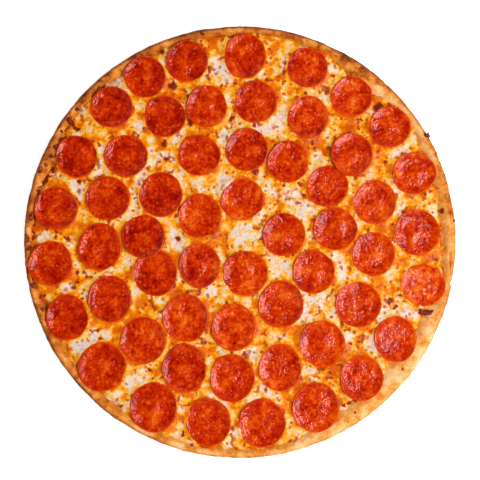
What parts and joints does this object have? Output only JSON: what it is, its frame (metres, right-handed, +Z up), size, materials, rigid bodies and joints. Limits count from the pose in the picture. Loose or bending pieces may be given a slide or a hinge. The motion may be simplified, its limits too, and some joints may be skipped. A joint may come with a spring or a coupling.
{
  "type": "pepperoni pizza",
  "caption": "Whole round pepperoni pizza, uncut: a baked crust with a low browned rim, a layer of melted cheese and round pepperoni slices spread over it.",
  "frame": {"origin": "middle of the flat underside, so that the pizza stands on z = 0", "axes": "+Z up through the pizza; +Y is the side at the top of the picture, which looks straight down, and +X is its right"},
  "size_m": [0.356, 0.3558, 0.0144],
  "materials": {
    "crust": null,
    "cheese": null,
    "pepperoni": null
  },
  "bodies": {
    "root": {"crust": "crust", "cheese": "cheese", "pepperoni_01": "pepperoni", "pepperoni_02": "pepperoni", "pepperoni_03": "pepperoni", "pepperoni_04": "pepperoni", "pepperoni_05": "pepperoni", "pepperoni_06": "pepperoni", "pepperoni_07": "pepperoni", "pepperoni_08": "pepperoni", "pepperoni_09": "pepperoni", "pepperoni_10": "pepperoni", "pepperoni_11": "pepperoni", "pepperoni_12": "pepperoni", "pepperoni_13": "pepperoni", "pepperoni_14": "pepperoni", "pepperoni_15": "pepperoni", "pepperoni_16": "pepperoni", "pepperoni_17": "pepperoni", "pepperoni_18": "pepperoni", "pepperoni_19": "pepperoni", "pepperoni_20": "pepperoni", "pepperoni_21": "pepperoni", "pepperoni_22": "pepperoni", "pepperoni_23": "pepperoni", "pepperoni_24": "pepperoni", "pepperoni_25": "pepperoni", "pepperoni_26": "pepperoni", "pepperoni_27": "pepperoni", "pepperoni_28": "pepperoni", "pepperoni_29": "pepperoni", "pepperoni_30": "pepperoni", "pepperoni_31": "pepperoni", "pepperoni_32": "pepperoni", "pepperoni_33": "pepperoni", "pepperoni_34": "pepperoni", "pepperoni_35": "pepperoni", "pepperoni_36": "pepperoni", "pepperoni_37": "pepperoni", "pepperoni_38": "pepperoni", "pepperoni_39": "pepperoni", "pepperoni_40": "pepperoni", "pepperoni_41": "pepperoni", "pepperoni_42": "pepperoni", "pepperoni_43": "pepperoni", "pepperoni_44": "pepperoni", "pepperoni_45": "pepperoni", "pepperoni_46": "pepperoni", "pepperoni_47": "pepperoni", "pepperoni_48": "pepperoni", "pepperoni_49": "pepperoni", "pepperoni_50": "pepperoni", "pepperoni_51": "pepperoni", "pepperoni_52": "pepperoni", "pepperoni_53": "pepperoni", "pepperoni_54": "pepperoni", "pepperoni_55": "pepperoni"}
  },
  "joints": []
}
